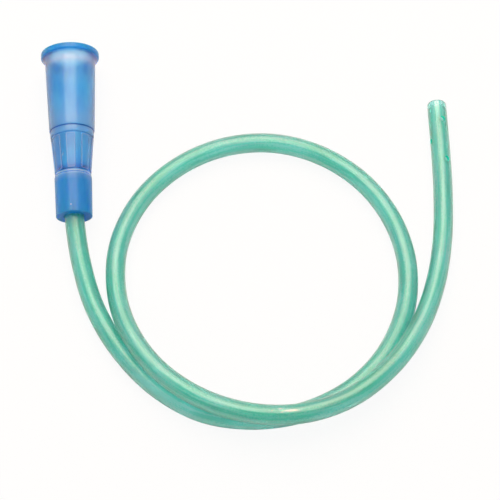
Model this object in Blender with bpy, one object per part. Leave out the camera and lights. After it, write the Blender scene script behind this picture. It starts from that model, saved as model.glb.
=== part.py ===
# Funnel-ended oxygen catheter: a moulded soft connector with a ribbed grip, bonded to one
# length of hollow tube that lies in a single loop. Metres, +Z up. The connector's axis runs
# along +Y, mouth forward, and the origin is under the middle of the connector.

import math

import bmesh
import bpy
from mathutils import Matrix, Vector

mm = 0.001
clearance = 0.3 * mm

# Tube, French size 14
tube_diameter = 4.67 * mm
tube_lumen = 3.3 * mm
tube_insertion = 10.0 * mm

# Connector, lengths counted from its tail end
connector_length = 43.0 * mm
wall = 0.75 * mm
edge_round = 0.25 * mm
sleeve_wall = 1.73 * mm
sleeve_taper = 0.16 * mm
sleeve_length = 10.0 * mm
shoulder_length = 0.8 * mm
waist_length = 9.5 * mm
waist_low_radius = 4.14 * mm
waist_high_radius = 4.96 * mm
ring_step = 0.28 * mm
ring_length = 1.8 * mm
ring_bulge = 0.07 * mm
cone_step = 0.26 * mm
cone_high_radius = 6.15 * mm
flare_length = 1.8 * mm
rim_width = 1.0 * mm
rim_thickness = 1.3 * mm
step_slope = 0.15 * mm

# Grip pads round the waist, their width measured at its narrow end
pad_count = 8
pad_height = 0.24 * mm
pad_width = 1.9 * mm
pad_corner = 0.5 * mm
pad_margin = 0.25 * mm

# Inside of the connector, behind the mouth
mouth_round = 0.3 * mm
lip_thickness = 0.8 * mm
funnel_floor_length = 1.2 * mm

tube_radius = tube_diameter / 2
lip_radius = tube_lumen / 2
socket_radius = tube_radius + clearance
socket_depth = tube_insertion + clearance
tail_radius = socket_radius + sleeve_wall
sleeve_radius = tail_radius + sleeve_taper
ring_radius = waist_high_radius + ring_step
cone_low_radius = ring_radius + cone_step
rim_radius = cone_high_radius + rim_width
waist_start = sleeve_length + shoulder_length
waist_end = waist_start + waist_length
ring_end = waist_end + ring_length
rim_start = connector_length - rim_thickness
cone_end = rim_start - flare_length

# Where the tube's centre runs after the sleeve, in millimetres
route = [
    (1.3, -33.1, 3.6),
    (4.3, -44.8, 3.0),
    (9.9, -55.6, 2.6),
    (17.8, -64.9, 2.4),
    (28.0, -71.6, 2.4),
    (39.8, -74.1, 2.4),
    (51.8, -72.9, 2.4),
    (62.9, -68.0, 2.4),
    (71.6, -59.8, 2.4),
    (77.1, -48.9, 2.4),
    (78.5, -36.8, 2.4),
    (75.7, -25.0, 2.4),
    (69.2, -14.8, 2.4),
    (59.5, -7.3, 2.4),
    (48.1, -3.6, 2.4),
    (36.1, -4.2, 2.4),
    (24.9, -9.0, 2.4),
    (16.0, -17.2, 2.4),
    (10.5, -28.1, 2.5),
    (9.4, -40.1, 3.4),
    (12.1, -51.8, 5.7),
    (18.4, -62.1, 7.0),
    (27.8, -69.7, 7.3),
    (39.1, -74.1, 7.4),
    (51.1, -74.9, 7.3),
    (62.5, -71.4, 6.9),
    (72.3, -64.2, 6.4),
    (79.6, -54.7, 5.2),
    (84.6, -43.6, 3.3),
    (87.6, -31.8, 2.4),
    (89.0, -19.7, 2.4),
    (89.6, -7.6, 2.4),
    (89.9, 5.0, 2.4),
]


def clear_scene():
    for item in list(bpy.data.objects):
        bpy.data.objects.remove(item, do_unlink=True)


def soft_plastic(name, colour, alpha):
    material = bpy.data.materials.new(name)
    material.use_nodes = True
    shader = material.node_tree.nodes["Principled BSDF"]
    shader.inputs["Base Color"].default_value = (*colour, 1.0)
    shader.inputs["Roughness"].default_value = 0.3
    shader.inputs["Metallic"].default_value = 0.0
    shader.inputs["Alpha"].default_value = alpha
    return material


def arc(along, radius, size, start, end, steps=3):
    """Points (along, radius) on a quarter or less of a circle, angles in degrees."""
    points = []
    for step in range(steps + 1):
        angle = math.radians(start + (end - start) * step / steps)
        points.append((along + size * math.cos(angle), radius + size * math.sin(angle)))
    return points


def mix(low, high, share):
    return low + (high - low) * share


def waist_radius(along):
    return mix(waist_low_radius, waist_high_radius, (along - waist_start) / waist_length)


def plain_rows(points):
    return [(along, radius, 0.0, pad_width / 2) for along, radius in points]


def pad_rows():
    """Rows over the waist: distance from the tail, root radius, rise and half width of a pad."""
    half = pad_width / 2
    rows = []
    low = waist_start + pad_margin
    high = waist_end - pad_margin
    for turn in (0.0, 30.0, 60.0, 90.0):
        inset = pad_corner * (1 - math.sin(math.radians(turn)))
        rise_along = step_slope + pad_corner * (1 - math.cos(math.radians(turn)))
        rows.append((low + rise_along, pad_height, half - inset))
    mirrored = [(low + high - along, rise, width) for along, rise, width in reversed(rows)]
    ends = half - pad_corner
    full = [(low, 0.0, ends)] + rows + mirrored + [(high, 0.0, ends)]
    return [(along, waist_radius(along), rise, width) for along, rise, width in full]


def outer_rows():
    """The outside of the connector from its tail end to its mouth."""
    tail = arc(edge_round, tail_radius - edge_round, edge_round, 180, 90)
    shoulder = [
        (sleeve_length - edge_round, sleeve_radius),
        (sleeve_length, sleeve_radius - edge_round / 4),
        (waist_start, waist_low_radius + pad_height),
        (waist_start + pad_margin / 2, waist_low_radius),
    ]
    ring = [(waist_end, waist_high_radius)]
    for share in (0.0, 0.25, 0.5, 0.75, 1.0):
        bulge = ring_bulge * math.sin(math.pi * share)
        ring.append((mix(waist_end + step_slope, ring_end, share), ring_radius + bulge))
    cone = [(ring_end + step_slope, cone_low_radius), (cone_end, cone_high_radius)]
    flare = []
    for share in (0.3, 0.55, 0.75, 0.9):
        swell = (rim_radius - edge_round - cone_high_radius) * share ** 1.6
        flare.append((mix(cone_end, rim_start, share), cone_high_radius + swell))
    rim = arc(rim_start + edge_round, rim_radius - edge_round, edge_round, 180, 90)
    lip = arc(connector_length - edge_round, rim_radius - edge_round, edge_round, 90, 0)
    return (plain_rows(tail + shoulder) + pad_rows()
            + plain_rows(ring + cone + flare + rim + lip))


def inner_rows():
    """The bore from the mouth back to the tail end, one wall inside the outer shape."""
    floor_low = socket_depth + lip_thickness
    floor_high = floor_low + funnel_floor_length
    mouth_radius = cone_high_radius - wall
    mouth = arc(connector_length - mouth_round, mouth_radius + mouth_round, mouth_round, 0, -90)
    rest = [
        (ring_end, ring_radius - wall),
        (waist_end, waist_high_radius - wall),
        (floor_high, waist_radius(floor_high) - wall),
        (floor_low, lip_radius),
        (socket_depth, lip_radius),
        (socket_depth, socket_radius),
        (edge_round, socket_radius),
        (0.0, socket_radius + edge_round),
    ]
    return plain_rows(mouth + rest)


def pad_angles(radius, half_width):
    """Column angles over one pad and the gap beside it, with True where the pad is raised."""
    pitch = 2 * math.pi / pad_count
    edge = half_width / radius
    foot = edge + step_slope / radius
    return [(-foot, False), (-edge, True), (-edge / 2, True), (0.0, True),
            (edge / 2, True), (edge, True), (foot, False), (pitch / 2, False)]


def connector_mesh():
    rows = outer_rows() + inner_rows()
    shape = bmesh.new()
    rings = []
    for along, radius, rise, half_width in rows:
        ring = []
        for pad in range(pad_count):
            middle = 2 * math.pi * pad / pad_count
            for angle, raised in pad_angles(waist_radius(waist_start), half_width):
                reach = radius + (rise if raised else 0.0)
                turn = middle + angle
                point = (reach * math.sin(turn), reach * math.cos(turn), along)
                ring.append(shape.verts.new(point))
        rings.append(ring)
    around = len(rings[0])
    for index, ring in enumerate(rings):
        following = rings[(index + 1) % len(rings)]
        for column in range(around):
            beside = (column + 1) % around
            shape.faces.new((ring[column], ring[beside], following[beside], following[column]))
    bmesh.ops.recalc_face_normals(shape, faces=shape.faces)
    mesh = bpy.data.meshes.new("funnel_connector")
    shape.to_mesh(mesh)
    shape.free()
    mesh.shade_smooth()
    mesh.set_sharp_from_angle(angle=math.radians(35))
    return mesh


def lay_down(mesh):
    """The turn and place that rest the connector on its rim and tail edge over the origin."""
    tilt = math.atan2(rim_radius - tail_radius, connector_length - rim_thickness)
    turn = Matrix.Rotation(tilt - math.pi / 2, 3, "X")
    corners = [turn @ vertex.co for vertex in mesh.vertices]
    lengths = [corner.y for corner in corners]
    place = Vector((0.0, -(min(lengths) + max(lengths)) / 2, -min(c.z for c in corners)))
    return turn, place


def make_connector():
    mesh = connector_mesh()
    turn, place = lay_down(mesh)
    seat = bpy.data.objects.new("connector_seat", None)
    seat.location = place
    seat.rotation_euler = turn.to_euler()
    bpy.context.scene.collection.objects.link(seat)
    connector = bpy.data.objects.new("funnel_connector", mesh)
    connector.parent = seat
    mesh.materials.append(soft_plastic("blue_soft_vinyl", (0.05, 0.25, 0.62), 0.75))
    bpy.context.scene.collection.objects.link(connector)
    return turn, place


def smooth_points(points, steps=24):
    """Points along a smooth curve that passes through the given ones."""
    ends = [2 * points[0] - points[1]] + points + [2 * points[-1] - points[-2]]
    curve = []
    for index in range(1, len(ends) - 2):
        before, start, stop, after = ends[index - 1:index + 3]
        for step in range(steps):
            t = step / steps
            curve.append(0.5 * (2 * start + (stop - before) * t
                                + (2 * before - 5 * start + 4 * stop - after) * t ** 2
                                + (3 * start - before - 3 * stop + after) * t ** 3))
    return curve + [points[-1]]


def even_points(curve, spacing):
    """The curve read again at even steps close to the spacing."""
    travelled = [0.0]
    for start, stop in zip(curve, curve[1:]):
        travelled.append(travelled[-1] + (stop - start).length)
    count = round(travelled[-1] / spacing)
    points = []
    index = 0
    for step in range(count + 1):
        target = travelled[-1] * step / count
        while index < len(curve) - 2 and travelled[index + 1] < target:
            index += 1
        share = (target - travelled[index]) / (travelled[index + 1] - travelled[index])
        points.append(curve[index].lerp(curve[index + 1], share))
    return points


def make_tube(turn, place):
    """The catheter's tube, from its end in the socket to its free tip."""
    inside = place + turn @ Vector((0.0, 0.0, tube_insertion))
    half_way = place + turn @ Vector((0.0, 0.0, tube_insertion / 2))
    laid = [Vector(point) * mm for point in route]
    curve = smooth_points([inside, half_way, place] + laid)
    points = even_points(curve, 2 * tube_diameter)
    data = bpy.data.curves.new("catheter_tube", "CURVE")
    data.dimensions = "3D"
    data.bevel_depth = tube_radius
    data.bevel_resolution = 4
    data.use_fill_caps = True
    spline = data.splines.new("POLY")
    spline.points.add(len(points) - 1)
    for knot, point in zip(spline.points, points):
        knot.co = (*point, 1.0)
    spline.use_smooth = True
    data.materials.append(soft_plastic("green_soft_vinyl", (0.16, 0.58, 0.44), 0.8))
    tube = bpy.data.objects.new("catheter_tube", data)
    bpy.context.scene.collection.objects.link(tube)


clear_scene()
turn, place = make_connector()
make_tube(turn, place)
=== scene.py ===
# Nasal oxygen catheter: a blue moulded funnel bonded to one looped green tube, on a white table.
import math

import bmesh
import bpy
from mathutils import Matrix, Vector
from mathutils.kdtree import KDTree


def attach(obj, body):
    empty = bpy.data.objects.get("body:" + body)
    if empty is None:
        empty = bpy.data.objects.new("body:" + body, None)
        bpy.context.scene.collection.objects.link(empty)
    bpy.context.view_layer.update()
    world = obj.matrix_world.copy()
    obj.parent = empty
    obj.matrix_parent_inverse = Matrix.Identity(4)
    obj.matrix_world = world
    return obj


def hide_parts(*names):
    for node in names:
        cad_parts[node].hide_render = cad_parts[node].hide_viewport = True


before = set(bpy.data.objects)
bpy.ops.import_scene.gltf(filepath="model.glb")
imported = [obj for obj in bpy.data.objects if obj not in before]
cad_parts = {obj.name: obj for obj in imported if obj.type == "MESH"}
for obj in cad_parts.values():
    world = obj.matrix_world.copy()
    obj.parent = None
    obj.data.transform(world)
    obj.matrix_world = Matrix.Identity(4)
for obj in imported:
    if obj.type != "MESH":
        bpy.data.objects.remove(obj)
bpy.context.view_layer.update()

mm = 0.001
up = Vector((0, 0, 1))
white = (1, 1, 1, 1)


def toLinear(colour):
    parts = [int(colour[i:i + 2], 16) / 255 for i in (1, 3, 5)]
    return tuple(p / 12.92 if p <= 0.04045 else ((p + 0.055) / 1.055) ** 2.4 for p in parts) + (1.0,)


def addNode(tree, kind, settings, links=()):
    # a setting is the node's own property, or else one of its sockets, by name or number
    node = tree.nodes.new(kind)
    for key, value in settings.items():
        if isinstance(key, str) and hasattr(node, key):
            setattr(node, key, value)
        else:
            node.inputs[key].default_value = value
    for key, source, output in links:
        tree.links.new(source.outputs[output], node.inputs[key])
    return node


def newMaterial(name):
    material = bpy.data.materials.new(name)
    material.use_nodes = True
    material.node_tree.nodes.clear()
    return material, material.node_tree


def scuffMask(tree, place, scuffs):
    # 1 inside each small mark, given by its place in mm, half length, half width and turn in degrees
    gone, full = 1.2, 0.6  # where a mark has faded out and where it is whole, in half sizes
    mask = None
    for where, halfLong, halfWide, turn in scuffs:
        local = addNode(tree, "ShaderNodeMapping", {
            "vector_type": "TEXTURE", "Location": Vector(where) * mm,
            "Rotation": (0, 0, math.radians(turn)),
            "Scale": Vector((halfLong, halfWide, 1.0)) * mm}, [("Vector", place, "Object")])
        far = addNode(tree, "ShaderNodeVectorMath", {"operation": "LENGTH"}, [(0, local, 0)])
        mark = addNode(tree, "ShaderNodeMapRange", {"From Min": gone, "From Max": full},
                       [("Value", far, "Value")])
        mask = mark if mask is None else addNode(
            tree, "ShaderNodeMath", {"operation": "MAXIMUM"}, [(0, mask, 0), (1, mark, 0)])
    return mask


def fillWithVinyl(tree, look, share, tint, milkColour, rough, clearBumps, hazeBumps):
    # dyed vinyl under a thin glossy skin: share of it is milky haze, and the rest is clear
    skin = {
        "IOR": look["ior"], "Coat IOR": look["ior"], "Specular IOR Level": look["shine"],
        "Specular Tint": toLinear(look["glint"]), "Coat Weight": look["skinWeight"],
        "Coat Roughness": look["skin"]}
    clear = addNode(tree, "ShaderNodeBsdfPrincipled", {**skin, "Transmission Weight": 1.0},
                    [("Base Color", tint, 2), ("Roughness", rough, 0)] + clearBumps)
    haze = addNode(tree, "ShaderNodeBsdfPrincipled", {
        **skin, "Subsurface Weight": 1.0, "Subsurface Scale": look["bleed"],
        "Subsurface Radius": look["bleedReach"]},
        [("Base Color", milkColour, 2), ("Roughness", rough, 0)] + hazeBumps)
    both = addNode(tree, "ShaderNodeMixShader", {}, [(0, share, 0), (1, clear, 0), (2, haze, 0)])
    dye = addNode(tree, "ShaderNodeVolumeAbsorption", {
        "Color": toLinear(look["dye"]), "Density": look["dyeDensity"]})
    addNode(tree, "ShaderNodeOutputMaterial", {}, [("Surface", both, 0), ("Volume", dye, 0)])


# Camera, where the photograph was taken from
view = {
    "place": (0.03166, -0.19795, 0.38517),
    "looksAlong": (0.02358, 0.39805, -0.91706),
    "lens": 126.0,  # mm
    "sensor": 36.0,  # mm
    "nearest": 0.01,
}
looking = Vector(view["looksAlong"]).to_track_quat("-Z", "Y").to_euler()
bpy.ops.object.camera_add(location=view["place"], rotation=looking)
camera = bpy.context.object
camera.data.sensor_width = view["sensor"]
camera.data.lens = view["lens"]
camera.data.clip_start = view["nearest"]
bpy.context.scene.camera = camera
bpy.context.scene.view_settings.view_transform = "Standard"
print("camera is set")


# Green tube, size 14 French, hollow, with a rounded open tip and six punched side eyes
tube = {
    "diameter": 4.67 * mm,
    "lumen": 3.3 * mm,
    "insertion": 10.0 * mm,  # glued length inside the sleeve
    "ringGap": 0.9 * mm,
    "sides": 48,
    "endEdge": 0.1 * mm,  # taken off the edges of the cut end inside the sleeve
    "tipRound": 0.85 * mm,
    "mouthRound": 0.12 * mm,
    "mouthDepth": 0.3 * mm,  # how far in the lumen's plain rings start
    "eyeWidth": 1.4 * mm,
    "eyeSides": 28,
    "punchDepth": 2.0 * mm,  # half of it goes in, through the wall and no further than the lumen
    "sharpFrom": 38,  # degrees, so that the eyes keep a sharp edge
    # distance from the tip in mm, and degrees round from the top, positive to the right
    "eyes": [(5.5, 24), (6.0, -148), (10.9, -78), (10.5, 138), (16.5, 31), (15.8, -142)],
}
# where the tube's middle runs after the sleeve, in mm
tubeRoute = [
    (1.3, -33.1, 3.6), (4.3, -44.8, 3.0), (9.9, -55.6, 2.6), (17.8, -64.9, 2.4), (28.0, -71.6, 2.4),
    (39.8, -74.1, 2.4), (51.8, -72.9, 2.4), (62.9, -68.0, 2.4), (71.6, -59.8, 2.4), (77.1, -48.9, 2.4),
    (78.5, -36.8, 2.4), (75.7, -25.0, 2.4), (69.2, -14.8, 2.4), (59.5, -7.3, 2.4), (48.1, -3.6, 2.4),
    (36.1, -4.2, 2.4), (24.9, -9.0, 2.4), (16.0, -17.2, 2.4), (10.5, -28.1, 2.52), (9.4, -40.1, 3.4),
    (12.1, -51.8, 5.7), (18.4, -62.1, 7.0), (27.8, -69.7, 7.3), (39.1, -74.1, 7.4), (51.1, -74.82, 7.3),
    (62.5, -71.4, 6.9), (72.3, -64.2, 6.4), (79.6, -54.7, 5.2), (84.6, -43.6, 3.3), (87.6, -31.8, 2.42),
    (89.0, -19.7, 2.4), (89.6, -7.6, 2.4), (89.9, 5.0, 2.4),
]
tailCentre = Vector((0, -21.545, 4.339)) * mm
funnelTilt = math.radians(3.8278)  # the funnel lies on its rim and tail edges
funnelAxis = Vector((0, math.cos(funnelTilt), math.sin(funnelTilt)))


def smoothCurve(points, steps=24):
    # passes through each point, heading from the one before it towards the one after it
    ends = [2 * points[0] - points[1]] + points + [2 * points[-1] - points[-2]]
    curve = []
    for i in range(1, len(ends) - 2):
        before, start, stop, after = ends[i - 1:i + 3]
        for step in range(steps):
            t = step / steps
            curve.append(0.5 * (2 * start + (stop - before) * t
                                + (2 * before - 5 * start + 4 * stop - after) * t ** 2
                                + (3 * start - before - 3 * stop + after) * t ** 3))
    return curve + [points[-1]]


def evenCurve(curve, gap):
    # the same curve by points an even gap apart, and its length
    travelled = [0.0]
    for start, stop in zip(curve, curve[1:]):
        travelled.append(travelled[-1] + (stop - start).length)
    count = round(travelled[-1] / gap)
    points, i = [], 0
    for step in range(count + 1):
        target = travelled[-1] * step / count
        while i < len(curve) - 2 and travelled[i + 1] < target:
            i += 1
        share = (target - travelled[i]) / (travelled[i + 1] - travelled[i])
        points.append(curve[i].lerp(curve[i + 1], share))
    return points, travelled[-1]


def framesAlong(points):
    # each point with the way ahead and two directions across, carried along without twisting
    frames = []
    across = None
    for i, point in enumerate(points):
        ahead = (points[min(i + 1, len(points) - 1)] - points[max(i - 1, 0)]).normalized()
        if across is None:
            across = ahead.cross(up)
        across = (across - ahead * across.dot(ahead)).normalized()
        frames.append((point, ahead, across, across.cross(ahead)))
    return frames


def makeTube():
    insertion = tube["insertion"]
    points = [tailCentre + funnelAxis * insertion, tailCentre + funnelAxis * insertion / 2, tailCentre]
    points += [Vector(point) * mm for point in tubeRoute]
    path, length = evenCurve(smoothCurve(points), tube["ringGap"])
    frames = framesAlong(path)
    outer, inner = tube["diameter"] / 2, tube["lumen"] / 2
    endEdge, tipRound, mouthRound = tube["endEdge"], tube["tipRound"], tube["mouthRound"]
    wall = outer - inner - mouthRound

    def ringAt(shape, travelled, radius):
        place = travelled / length * (len(frames) - 1)
        i = min(int(place), len(frames) - 2)
        low, high = frames[i], frames[i + 1]
        centre = low[0].lerp(high[0], place - i)
        across = low[2].lerp(high[2], place - i).normalized()
        over = low[3].lerp(high[3], place - i).normalized()
        ring = []
        for side in range(tube["sides"]):
            angle = 2 * math.pi * side / tube["sides"]
            offset = across * math.sin(angle) + over * math.cos(angle)
            ring.append(shape.verts.new(centre + offset * radius))
        return ring

    # rings by distance along the tube and radius: out along the skin, round the tip, back in the lumen
    gap = length / (len(frames) - 1)
    steps = range(1, len(frames) - 1)
    plainEnd = length - tipRound * 1.05  # just short of the rounded tip
    rows = [(0.0, inner + endEdge), (0.0, outer - endEdge), (endEdge, outer)]
    rows += [(gap * i, outer) for i in steps if gap * i < plainEnd]
    for turn in range(0, 91, 10):  # the melted, rounded shoulder of the tip, by degrees of its turn
        turn = math.radians(turn)
        rows.append((length - tipRound * (1 - math.sin(turn)), outer - wall * (1 - math.cos(turn))))
    for turn in range(30, 91, 30):  # the edge of the lumen's mouth
        turn = math.radians(turn)
        rows.append((length - mouthRound * (1 - math.cos(turn)), inner + mouthRound * (1 - math.sin(turn))))
    rows += [(gap * i, inner) for i in reversed(steps) if gap * i < length - tube["mouthDepth"]]
    shape = bmesh.new()
    rings = [ringAt(shape, travelled, radius) for travelled, radius in rows]
    for ring, following in zip(rings, rings[1:] + rings[:1]):
        for side in range(tube["sides"]):
            beside = (side + 1) % tube["sides"]
            shape.faces.new((ring[side], ring[beside], following[beside], following[side]))
    bmesh.ops.recalc_face_normals(shape, faces=shape.faces)
    mesh = bpy.data.meshes.new("greenTube")
    shape.to_mesh(mesh)
    shape.free()
    piece = bpy.data.objects.new("greenTube", mesh)
    bpy.context.scene.collection.objects.link(piece)
    return piece, path, length, frames


def punchEyes(piece, length, frames, wallFinish):
    punches = []
    for back, turn in tube["eyes"]:
        centre, ahead = frames[round((1 - back * mm / length) * (len(frames) - 1))][:2]
        side = ahead.cross(up).normalized()
        top = side.cross(ahead)
        out = side * math.sin(math.radians(turn)) + top * math.cos(math.radians(turn))
        bpy.ops.object.select_all(action="DESELECT")
        bpy.ops.mesh.primitive_cylinder_add(
            vertices=tube["eyeSides"], radius=tube["eyeWidth"] / 2, depth=tube["punchDepth"],
            location=centre + out * (tube["diameter"] / 2),
            rotation=out.to_track_quat("Z", "Y").to_euler())
        bpy.context.object.data.materials.append(wallFinish)
        punches.append(bpy.context.object)
    for punch in punches:
        punch.select_set(True)
    bpy.ops.object.join()
    allPunches = bpy.context.object
    bpy.ops.object.select_all(action="DESELECT")
    bpy.context.view_layer.objects.active = piece
    piece.select_set(True)
    cut = piece.modifiers.new("eyes", "BOOLEAN")
    cut.operation = "DIFFERENCE"
    cut.solver = "EXACT"
    cut.material_mode = "TRANSFER"  # the cut walls keep the punches' finish
    cut.object = allPunches
    bpy.ops.object.modifier_apply(modifier="eyes")
    bpy.data.objects.remove(allPunches, do_unlink=True)
    bpy.ops.object.shade_smooth_by_angle(angle=math.radians(tube["sharpFrom"]))


def markGrain(piece, frames, length):
    # for each point: metres along the tube, and where round the tube it is, for the drawn lines
    tree = KDTree(len(frames))
    for i, spot in enumerate(frames):
        tree.insert(spot[0], i)
    tree.balance()
    grain = piece.data.attributes.new("grain", "FLOAT_VECTOR", "POINT")
    step = length / (len(frames) - 1)
    for vertex in piece.data.vertices:
        i = tree.find(vertex.co)[1]
        point, ahead, across, over = frames[i]
        offset = vertex.co - point
        flat = Vector((offset.dot(across), offset.dot(over))).normalized()
        grain.data[vertex.index].vector = (i * step + offset.dot(ahead), flat.x, flat.y)


# Soft vinyl, extruded: clear green with a milky haze, frosted and lined lengthwise by the die,
# which softens its highlight and leaves pale and deep streaks along it
greenVinyl = {
    "ior": 1.54,
    "clear": "#E6FAF8", "clearLine": "#98ECE2",  # between the die lines, and in the deep ones
    "haze": "#80F2DC", "hazeLine": "#1CD8BE",  # the same for the milky share
    "dye": "#00F1EA", "dyeDensity": 280.0, "glint": "#FFE2BC",
    "hazeShare": (0.05, 0.30), "hazeFrom": (0.6, 1.0),  # in what the streaks and clouds add up to
    "bleed": 3.0 * mm, "bleedReach": (0.35, 1.0, 0.8),  # red light goes least far in green vinyl
    "hazeTip": 0.06,  # the melted tip is clearer and glossier
    "frost": (0.34, 0.44), "frostTip": 0.22, "shine": 0.3,
    "skinWeight": 1.0, "skin": 0.32,
    "tipStart": 2.2 * mm, "tipFull": 1.4 * mm,
    "cloud": 7.0 * mm,
    "grit": 0.45 * mm,  # real grit is near 0.1 mm, drawn coarser so that it shows
    "gritFrom": (0.3, 0.7), "gritDepth": 0.04 * mm,
    "dieLine": 0.55 * mm, "dieDepth": 0.05 * mm,
    "dieRun": 14.0,  # draws the lines out to about 17 mm
    "streaky": 0.6, "speckle": 0.35,  # how much lines show in the haze, and grit in the lines
    "lineFrom": (0.715, 0.595),  # where a line starts, and where it is deepest
    "scuffs": [((43.9, -74.6, 9.6), 0.34, 0.16, 40), ((45.9, -74.2, 9.5), 0.6, 0.18, -10),
               ((46.2, -75.1, 9.6), 0.5, 0.16, 10), ((48.3, -74.8, 9.6), 2.3, 0.34, 1)],
    "scuffWhite": "#E6F6EC",
}


def extrudedGreenVinyl(length):
    look = greenVinyl
    material, tree = newMaterial("extrudedGreenVinyl")
    grain = addNode(tree, "ShaderNodeAttribute", {"attribute_name": "grain"})
    place = addNode(tree, "ShaderNodeTexCoord", {})
    stretched = addNode(tree, "ShaderNodeMapping", {"Scale": (look["dieRun"], 1.0, 1.0)},
                        [("Vector", grain, "Vector")])
    lines = addNode(tree, "ShaderNodeTexNoise", {
        "Scale": tube["diameter"] / 2 / look["dieLine"], "Detail": 1.0}, [("Vector", stretched, 0)])
    clouds = addNode(tree, "ShaderNodeTexNoise", {"Scale": 1 / look["cloud"], "Detail": 2.0},
                     [("Vector", place, "Object")])
    grit = addNode(tree, "ShaderNodeTexNoise", {"Scale": 1 / look["grit"], "Detail": 1.0},
                   [("Vector", place, "Object")])
    along = addNode(tree, "ShaderNodeSeparateXYZ", {}, [(0, grain, "Vector")])
    tip = addNode(tree, "ShaderNodeMapRange", {
        "From Min": length - look["tipStart"], "From Max": length - look["tipFull"]},
        [("Value", along, "X")])

    # how milky it is
    streaks = addNode(tree, "ShaderNodeMath", {"operation": "MULTIPLY_ADD", 1: look["streaky"]},
                      [(0, lines, 0), (2, clouds, 0)])
    milk = addNode(tree, "ShaderNodeMapRange", {
        "From Min": look["hazeFrom"][0], "From Max": look["hazeFrom"][1],
        "To Min": look["hazeShare"][0], "To Max": look["hazeShare"][1]}, [("Value", streaks, 0)])
    scuffed = scuffMask(tree, place, look["scuffs"])
    share = addNode(tree, "ShaderNodeMix", {"B": look["hazeTip"]}, [("Factor", tip, 0), ("A", milk, 0)])
    share = addNode(tree, "ShaderNodeMath", {"operation": "MAXIMUM"}, [(0, share, 0), (1, scuffed, 0)])

    # its colours, deeper in the lines
    speckled = addNode(tree, "ShaderNodeMath", {"operation": "MULTIPLY_ADD", 1: look["speckle"]},
                       [(0, grit, 0), (2, lines, 0)])
    lined = addNode(tree, "ShaderNodeMapRange", {
        "From Min": look["lineFrom"][0], "From Max": look["lineFrom"][1]}, [("Value", speckled, 0)])
    tint = addNode(tree, "ShaderNodeMix", {
        "data_type": "RGBA", 6: toLinear(look["clear"]), 7: toLinear(look["clearLine"])},
        [(0, lined, 0)])
    milkColour = addNode(tree, "ShaderNodeMix", {
        "data_type": "RGBA", 6: toLinear(look["haze"]), 7: toLinear(look["hazeLine"])},
        [(0, lined, 0)])
    milkColour = addNode(tree, "ShaderNodeMix", {
        "data_type": "RGBA", 7: toLinear(look["scuffWhite"])}, [(0, scuffed, 0), (6, milkColour, 2)])

    # its frosted, lined surface
    matt = addNode(tree, "ShaderNodeMapRange", {
        "From Min": look["gritFrom"][0], "From Max": look["gritFrom"][1],
        "To Min": look["frost"][0], "To Max": look["frost"][1]}, [("Value", grit, 0)])
    rough = addNode(tree, "ShaderNodeMix", {"B": look["frostTip"]}, [("Factor", tip, 0), ("A", matt, 0)])
    drawn = addNode(tree, "ShaderNodeBump", {"Strength": 0.4, "Distance": look["dieDepth"]},
                    [("Height", lines, 0)])
    frosted = addNode(tree, "ShaderNodeBump", {"Strength": 0.3, "Distance": look["gritDepth"]},
                      [("Height", grit, 0), ("Normal", drawn, 0)])
    fillWithVinyl(tree, look, share, tint, milkColour, rough, [("Normal", drawn, 0)],
                  [("Normal", frosted, 0)])
    return material


# The same vinyl where the eyes are punched: a fresh cut, painted a bright deep green as a painted glow for
# the light running along the wall, which also lifts the shade in the holes
eyeWall = {
    "deep": "#00CCB0", "pale": "#38E0C8", "ior": 1.5, "smooth": 0.3, "bleed": 3.0 * mm,
    "tear": 0.3 * mm, "tearDepth": 0.04 * mm,
}


def paintedGlowGreenVinyl():
    material, tree = newMaterial("paintedGlowGreenVinyl")
    place = addNode(tree, "ShaderNodeTexCoord", {})
    tear = addNode(tree, "ShaderNodeTexNoise", {"Scale": 1 / eyeWall["tear"], "Detail": 2.0},
                   [("Vector", place, "Object")])
    colour = addNode(tree, "ShaderNodeMix", {
        "data_type": "RGBA", 6: toLinear(eyeWall["deep"]), 7: toLinear(eyeWall["pale"])},
        [(0, tear, 0)])
    torn = addNode(tree, "ShaderNodeBump", {"Strength": 0.3, "Distance": eyeWall["tearDepth"]},
                   [("Height", tear, 0)])
    cut = addNode(tree, "ShaderNodeBsdfPrincipled", {
        "Roughness": eyeWall["smooth"], "IOR": eyeWall["ior"], "Subsurface Weight": 1.0,
        "Subsurface Scale": eyeWall["bleed"], "Subsurface Radius": greenVinyl["bleedReach"]},
        [("Base Color", colour, 2), ("Normal", torn, 0)])
    addNode(tree, "ShaderNodeOutputMaterial", {}, [("Surface", cut, 0)])
    return material


greenTube, tubePath, tubeLength, tubeFrames = makeTube()
greenTube.data.materials.append(extrudedGreenVinyl(tubeLength))
punchEyes(greenTube, tubeLength, tubeFrames, paintedGlowGreenVinyl())
markGrain(greenTube, tubeFrames, tubeLength)
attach(greenTube, "root")
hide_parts("catheter_tube")
print("tube is laid", round(tubeLength, 4), "m long")


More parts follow.
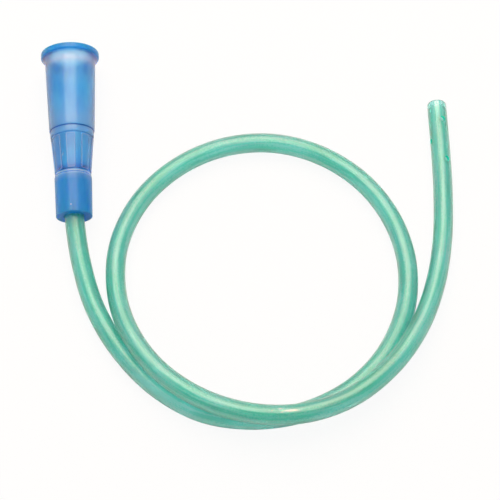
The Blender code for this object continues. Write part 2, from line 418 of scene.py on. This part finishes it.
# Blue funnel, moulded soft vinyl with eight grip pads
funnel = {
    "columns": 64,
    "smoothing": 2,
    "pads": 8,
    "padColumns": 5,  # of the 8 that each pad and its gap have
    "padRows": (11.1, 20.0),  # mm from the tail
    "padHeight": 0.26 * mm,
    "padDish": 0.06 * mm,
    "padFoot": 0.05 * mm,
    "padEdge": 0.16 * mm,
    # distance from the tail and radius in mm, outside first, then back down the bore
    "outside": [
        (0.0, 2.45), (0.0, 2.6), (0.0, 4.1), (0.0, 4.337), (0.06, 4.362), (0.3, 4.369), (9.6, 4.52),
        (9.88, 4.522), (10.0, 4.50), (10.12, 4.41), (10.3, 4.393), (10.62, 4.385), (10.8, 4.37),
        (10.88, 4.33), (10.93, 4.19), (11.0, 4.16), (11.1, 4.166), (11.9, 4.236), (15.5, 4.546),
        (19.2, 4.864), (20.0, 4.934), (20.12, 4.945), (20.28, 4.97), (20.34, 5.1), (20.42, 5.22),
        (20.6, 5.262), (21.2, 5.31), (21.75, 5.262), (21.98, 5.235), (22.08, 5.25), (22.14, 5.4),
        (22.24, 5.49), (22.45, 5.516), (33.0, 5.905), (38.2, 6.092), (39.4, 6.135), (40.0, 6.17),
        (40.5, 6.26), (41.0, 6.46), (41.35, 6.72), (41.6, 6.95), (41.72, 7.06), (41.82, 7.12),
        (42.0, 7.145), (42.4, 7.15), (42.78, 7.145), (42.94, 7.11), (42.99, 7.02), (43.0, 6.85),
    ],
    "bore": [
        (43.0, 5.75), (42.96, 5.58), (42.86, 5.47), (42.6, 5.41), (41.5, 5.395), (39.0, 5.36),
        (37.6, 5.308), (32.0, 5.1), (22.6, 4.745), (22.1, 4.60), (21.7, 4.5), (20.6, 4.35),
        (20.0, 4.2), (15.0, 3.75), (13.6, 3.58), (12.9, 3.3), (12.2, 2.75), (11.5, 2.05),
        (11.1, 1.72), (10.9, 1.65), (10.4, 1.65), (10.3, 1.67), (10.28, 1.8), (10.28, 2.25),
        (10.26, 2.34), (10.15, 2.36), (0.3, 2.36), (0.1, 2.38),
    ],
    # painted light by distance from the tail in mm: a painted highlight (+) or painted shade (-) line at
    # each step and groove, and a painted reflection on the flare under the rim
    "lines": [(9.8, 10.02, 0.5), (10.1, 10.15, -0.8), (10.3, 10.8, 0.6), (10.85, 11.05, -1.0),
              (20.2, 20.3, -0.7), (20.4, 21.8, 0.5), (21.9, 22.1, -1.0), (22.2, 22.6, 0.6),
              (38.5, 41.3, 1.0)],
    "paintedLinesBeyond": 4.0,  # mm from the axis
    # a painted highlight on the pads' edges, and a fainter one on their dished tops
    "padRimHighlight": 1.0, "padTopHighlight": 0.2,  # how pale the pads' edges and their dished tops show
    "deep": [(-1.0, 10.95), (41.5, 44.0)],  # the thick sleeve and rim, in mm from the tail
}


def makeFunnel():
    rows = [(along * mm, radius * mm) for along, radius in funnel["outside"] + funnel["bore"]]
    columns = funnel["columns"]
    bpy.ops.object.select_all(action="DESELECT")
    bpy.ops.mesh.primitive_circle_add(vertices=columns, radius=rows[0][1],
                                      rotation=(0, 0, math.pi / columns))
    piece = bpy.context.object
    piece.name = piece.data.name = "blueFunnel"
    bpy.ops.object.transform_apply(location=True, rotation=True, scale=True)
    bpy.ops.object.mode_set(mode="EDIT")
    bpy.ops.mesh.select_mode(type="EDGE")
    bpy.ops.mesh.select_all(action="SELECT")
    for (low, narrow), (high, wide) in zip(rows, rows[1:]):  # one ring after the other, up and back
        bpy.ops.mesh.extrude_region_move(TRANSFORM_OT_translate={"value": (0, 0, high - low)})
        grow = wide / narrow
        bpy.ops.transform.resize(value=(grow, grow, 1), center_override=(0, 0, high))
    bpy.ops.mesh.select_all(action="DESELECT")
    bpy.ops.mesh.select_non_manifold()
    bpy.ops.mesh.bridge_edge_loops()
    bpy.ops.mesh.select_all(action="SELECT")
    bpy.ops.mesh.normals_make_consistent(inside=False)
    bpy.ops.mesh.select_mode(type="FACE")
    bpy.ops.mesh.select_all(action="DESELECT")
    markPaintedLinesAndDeep(piece)
    raisePads(piece)
    bpy.ops.object.mode_set(mode="OBJECT")
    smooth = piece.modifiers.new("smooth", "SUBSURF")
    smooth.levels = smooth.render_levels = funnel["smoothing"]
    bpy.ops.object.modifier_apply(modifier="smooth")
    bpy.ops.object.shade_smooth()
    piece.location = tailCentre
    piece.rotation_euler = (funnelTilt - math.pi / 2, 0, 0)
    bpy.ops.object.transform_apply(location=True, rotation=True, scale=True)
    return piece


def markPaintedLinesAndDeep(piece):
    # the painted light: a highlight (+) or shade (-) painted along an edge; deep: where the wall is thick
    shape = bmesh.from_edit_mesh(piece.data)
    paintedLight = shape.verts.layers.float.new("paintedLight")
    deep = shape.verts.layers.float.new("deep")
    for vertex in shape.verts:
        vertex[deep] = float(any(start * mm < vertex.co.z < stop * mm for start, stop in funnel["deep"]))
        # painted highlight or painted shade lines at the steps and grooves, on the outside only
        for start, stop, value in funnel["lines"]:
            if start * mm < vertex.co.z < stop * mm and vertex.co.xy.length > funnel["paintedLinesBeyond"] * mm:
                vertex[paintedLight] = value
    bmesh.update_edit_mesh(piece.data)


def raisePads(piece):
    low, high = (along * mm for along in funnel["padRows"])
    perPad = funnel["columns"] // funnel["pads"]
    half = funnel["padColumns"] // 2
    shape = bmesh.from_edit_mesh(piece.data)
    for face in shape.faces:
        middle = face.calc_center_median()
        if low < middle.z < high and face.normal.xy.dot(middle.xy) > 0:  # outside only
            column = round(math.degrees(math.atan2(middle.x, middle.y)) / (360 / funnel["columns"]))
            if min(column % perPad, -column % perPad) <= half:
                face.select_set(True)
    bmesh.update_edit_mesh(piece.data)
    bpy.ops.mesh.inset(thickness=funnel["padFoot"])
    bpy.ops.mesh.extrude_region_shrink_fatten(
        TRANSFORM_OT_shrink_fatten={"value": funnel["padHeight"]})
    # the pads' sides and edges get a painted highlight, and their dished tops a fainter one
    markPaintedLight(piece, funnel["padRimHighlight"])
    bpy.ops.mesh.inset(thickness=funnel["padEdge"])
    bpy.ops.mesh.inset(thickness=funnel["padEdge"], depth=-funnel["padDish"])
    markPaintedLight(piece, funnel["padTopHighlight"])


def markPaintedLight(piece, value):
    shape = bmesh.from_edit_mesh(piece.data)
    paintedLight = shape.verts.layers.float["paintedLight"]
    for vertex in shape.verts:
        if vertex.select:
            vertex[paintedLight] = value
    bmesh.update_edit_mesh(piece.data)


# Soft vinyl, injection moulded: clear blue, milkier in its thick sleeve and rim, with the fine satin
# grain of the mould, deeper streaks where it flowed in, and two small scuffs on its upper side
# it also carries painted highlights along its edges and steps, and painted shade in its grooves
blueVinyl = {
    "ior": 1.5,
    "clear": "#A8F0FE", "clearDeep": "#4CCAF8",  # in the thin walls, and in the thick sleeve and rim
    "haze": "#38B8F6", "hazeDeep": "#00B0FF", "hazeShare": (0.05, 0.5),  # the same
    "dye": "#00D2FE", "dyeDensity": 430.0, "glint": "#FFF4E0",
    "bleed": 3.0 * mm, "bleedReach": (0.3, 0.7, 1.0),  # blue light goes furthest in blue vinyl
    "satin": (0.30, 0.38), "satinDeep": 0.5, "shine": 0.3, "skinWeight": 0.35, "skin": 0.18,
    "grit": 0.4 * mm,  # real grit is near 0.05 mm, drawn coarser so that it shows
    "gritFrom": (0.3, 0.7), "gritDepth": 0.03 * mm,
    "cloud": 2.2 * mm, "cloudFrom": (0.3, 0.7), "cloudDepth": 0.15 * mm,
    "cloudRun": 0.3,  # draws the clouds out along the funnel to three times their width
    "uneven": (0.75, 1.25),  # how much the haze thins and thickens in the clouds
    "flow": "#3094E0", "flowFrom": (0.35, 0.65), "flowMost": 0.4,  # the deeper streaks
    "scuffs": [((-2.1, -7.1, 9.4), 0.5, 0.14, 50), ((-0.35, -20.2, 8.8), 0.2, 0.16, 0)],
    "scuffWhite": "#DCE6F6",
    # painted light: a pale painted highlight on edges and steps, and a dark painted shade in grooves
    "paintedHighlight": "#DAE4F8", "paintedHighlightMilk": 0.12,  # where an edge gathers light
    "paintedShade": "#0B50B0", "paintedShadeMilk": 0.4,  # and where a groove loses it
}


def mouldedBlueVinyl():
    look = blueVinyl
    material, tree = newMaterial("mouldedBlueVinyl")
    place = addNode(tree, "ShaderNodeTexCoord", {})
    paintedLight = addNode(tree, "ShaderNodeAttribute", {"attribute_name": "paintedLight"})
    deep = addNode(tree, "ShaderNodeAttribute", {"attribute_name": "deep"})
    drawnOut = addNode(tree, "ShaderNodeMapping", {"Scale": (1.0, look["cloudRun"], 1.0)},
                       [("Vector", place, "Object")])
    clouds = addNode(tree, "ShaderNodeTexNoise", {"Scale": 1 / look["cloud"], "Detail": 2.0},
                     [("Vector", drawnOut, 0)])
    grit = addNode(tree, "ShaderNodeTexNoise", {"Scale": 1 / look["grit"], "Detail": 1.0},
                   [("Vector", place, "Object")])

    # how milky it is
    scuffed = scuffMask(tree, place, look["scuffs"])
    thick = addNode(tree, "ShaderNodeMapRange", {
        "To Min": look["hazeShare"][0], "To Max": look["hazeShare"][1]}, [("Value", deep, "Fac")])
    uneven = addNode(tree, "ShaderNodeMapRange", {
        "From Min": look["cloudFrom"][0], "From Max": look["cloudFrom"][1],
        "To Min": look["uneven"][0], "To Max": look["uneven"][1]}, [("Value", clouds, 0)])
    milk = addNode(tree, "ShaderNodeMath", {"operation": "MULTIPLY"}, [(0, thick, 0), (1, uneven, 0)])
    share = addNode(tree, "ShaderNodeMath", {"operation": "MAXIMUM"}, [(0, milk, 0), (1, scuffed, 0)])

    # its satin surface
    matt = addNode(tree, "ShaderNodeMapRange", {
        "From Min": look["gritFrom"][0], "From Max": look["gritFrom"][1],
        "To Min": look["satin"][0], "To Max": look["satin"][1]}, [("Value", grit, 0)])
    rough = addNode(tree, "ShaderNodeMix", {"B": look["satinDeep"]},
                    [("Factor", deep, "Fac"), ("A", matt, 0)])
    wavy = addNode(tree, "ShaderNodeBump", {"Strength": 0.15, "Distance": look["cloudDepth"]},
                   [("Height", clouds, 0)])
    satin = addNode(tree, "ShaderNodeBump", {"Strength": 0.2, "Distance": look["gritDepth"]},
                    [("Height", grit, 0), ("Normal", wavy, 0)])

    # its colours, and how streaks change them, with painted highlights on edges and painted shade in
    # grooves
    tint = addNode(tree, "ShaderNodeMix", {
        "data_type": "RGBA", 6: toLinear(look["clear"]), 7: toLinear(look["clearDeep"])},
        [(0, deep, "Fac")])
    milkColour = addNode(tree, "ShaderNodeMix", {
        "data_type": "RGBA", 6: toLinear(look["haze"]), 7: toLinear(look["hazeDeep"])},
        [(0, deep, "Fac")])
    flow = addNode(tree, "ShaderNodeMapRange", {
        "From Min": look["flowFrom"][0], "From Max": look["flowFrom"][1], "To Max": look["flowMost"]},
        [("Value", clouds, 0)])
    # painted highlight where the edge marks are positive, painted shade where they are negative
    paintedHighlights = addNode(tree, "ShaderNodeMapRange", {"From Max": 1.0}, [("Value", paintedLight, "Fac")])
    paintedShades = addNode(tree, "ShaderNodeMapRange", {"From Max": -1.0}, [("Value", paintedLight, "Fac")])
    for mask, colour, milky in ((flow, look["flow"], 0.0), (paintedHighlights, look["paintedHighlight"], look["paintedHighlightMilk"]),
                                (paintedShades, look["paintedShade"], look["paintedShadeMilk"])):
        milkColour = addNode(tree, "ShaderNodeMix", {"data_type": "RGBA", 7: toLinear(colour)},
                             [(0, mask, 0), (6, milkColour, 2)])
        tint = addNode(tree, "ShaderNodeMix", {"data_type": "RGBA", 7: toLinear(colour)},
                       [(0, mask, 0), (6, tint, 2)])
        share = addNode(tree, "ShaderNodeMath", {"operation": "MULTIPLY_ADD", 1: milky},
                        [(0, mask, 0), (2, share, 0)])
    milkColour = addNode(tree, "ShaderNodeMix", {
        "data_type": "RGBA", 7: toLinear(look["scuffWhite"])}, [(0, scuffed, 0), (6, milkColour, 2)])
    # the clear share has no bumps, or it would blur what shows through the thin walls
    fillWithVinyl(tree, look, share, tint, milkColour, rough, [], [("Normal", satin, 0)])
    return material


blueFunnel = makeFunnel()
blueFunnel.data.materials.append(mouldedBlueVinyl())
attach(blueFunnel, "root")
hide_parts("funnel_connector")
print("funnel is moulded")


# White table and room
room = {
    "tableSize": 8.0,
    "tableColour": "#F2F0F1",
    "tableSeen": 0.92,  # how much plain white the camera sees in it, whatever the light
    "tableThrough": 0.9,  # the same through the plastic
    "airStrength": 0.49,
    "lampPlace": (0.02, 0.42, 0.78),
    "lampAim": (0.04, -0.03, 0.0),
    "lampSize": (0.85, 0.90),
    "lampColour": "#FFE8CA",
    "lampPower": 8.6,
}


def whiteBehind(tree, seen, through):
    # the share of plain white for what the camera sees, and for what shows through the plastic
    path = addNode(tree, "ShaderNodeLightPath", {})
    direct = addNode(tree, "ShaderNodeMath", {"operation": "MULTIPLY", 1: seen},
                     [(0, path, "Is Camera Ray")])
    return addNode(tree, "ShaderNodeMath", {"operation": "MULTIPLY_ADD", 1: through},
                   [(0, path, "Is Transmission Ray"), (2, direct, 0)])


def layTable():
    bpy.ops.object.select_all(action="DESELECT")
    bpy.ops.mesh.primitive_plane_add(size=room["tableSize"], location=(0, 0, 0))
    table = bpy.context.object
    table.name = "whiteTable"
    material, tree = newMaterial("whiteLaminate")
    matt = addNode(tree, "ShaderNodeBsdfDiffuse", {"Color": toLinear(room["tableColour"])})
    share = whiteBehind(tree, room["tableSeen"], room["tableThrough"])
    bright = addNode(tree, "ShaderNodeEmission", {"Color": white, "Strength": 1.0})
    both = addNode(tree, "ShaderNodeMixShader", {}, [(0, share, 0), (1, matt, 0), (2, bright, 0)])
    addNode(tree, "ShaderNodeOutputMaterial", {}, [("Surface", both, 0)])
    table.data.materials.append(material)


def lightRoom():
    air = bpy.data.worlds.new("whiteRoom")
    air.use_nodes = True
    tree = air.node_tree
    tree.nodes.clear()
    bpy.context.scene.world = air
    rest = 1 - room["airStrength"]  # what brings the air up to white where it is seen
    share = whiteBehind(tree, rest, rest)
    lift = addNode(tree, "ShaderNodeMath", {"operation": "ADD", 1: room["airStrength"]}, [(0, share, 0)])
    glow = addNode(tree, "ShaderNodeBackground", {"Color": white}, [("Strength", lift, 0)])
    addNode(tree, "ShaderNodeOutputWorld", {}, [("Surface", glow, 0)])

    aim = Vector(room["lampAim"]) - Vector(room["lampPlace"])
    bpy.ops.object.light_add(type="AREA", location=room["lampPlace"],
                             rotation=aim.to_track_quat("-Z", "Y").to_euler())
    lamp = bpy.context.object
    lamp.data.shape = "RECTANGLE"
    lamp.data.size, lamp.data.size_y = room["lampSize"]
    lamp.data.energy = room["lampPower"]
    lamp.data.color = toLinear(room["lampColour"])[:3]


layTable()
lightRoom()
print("room is lit")
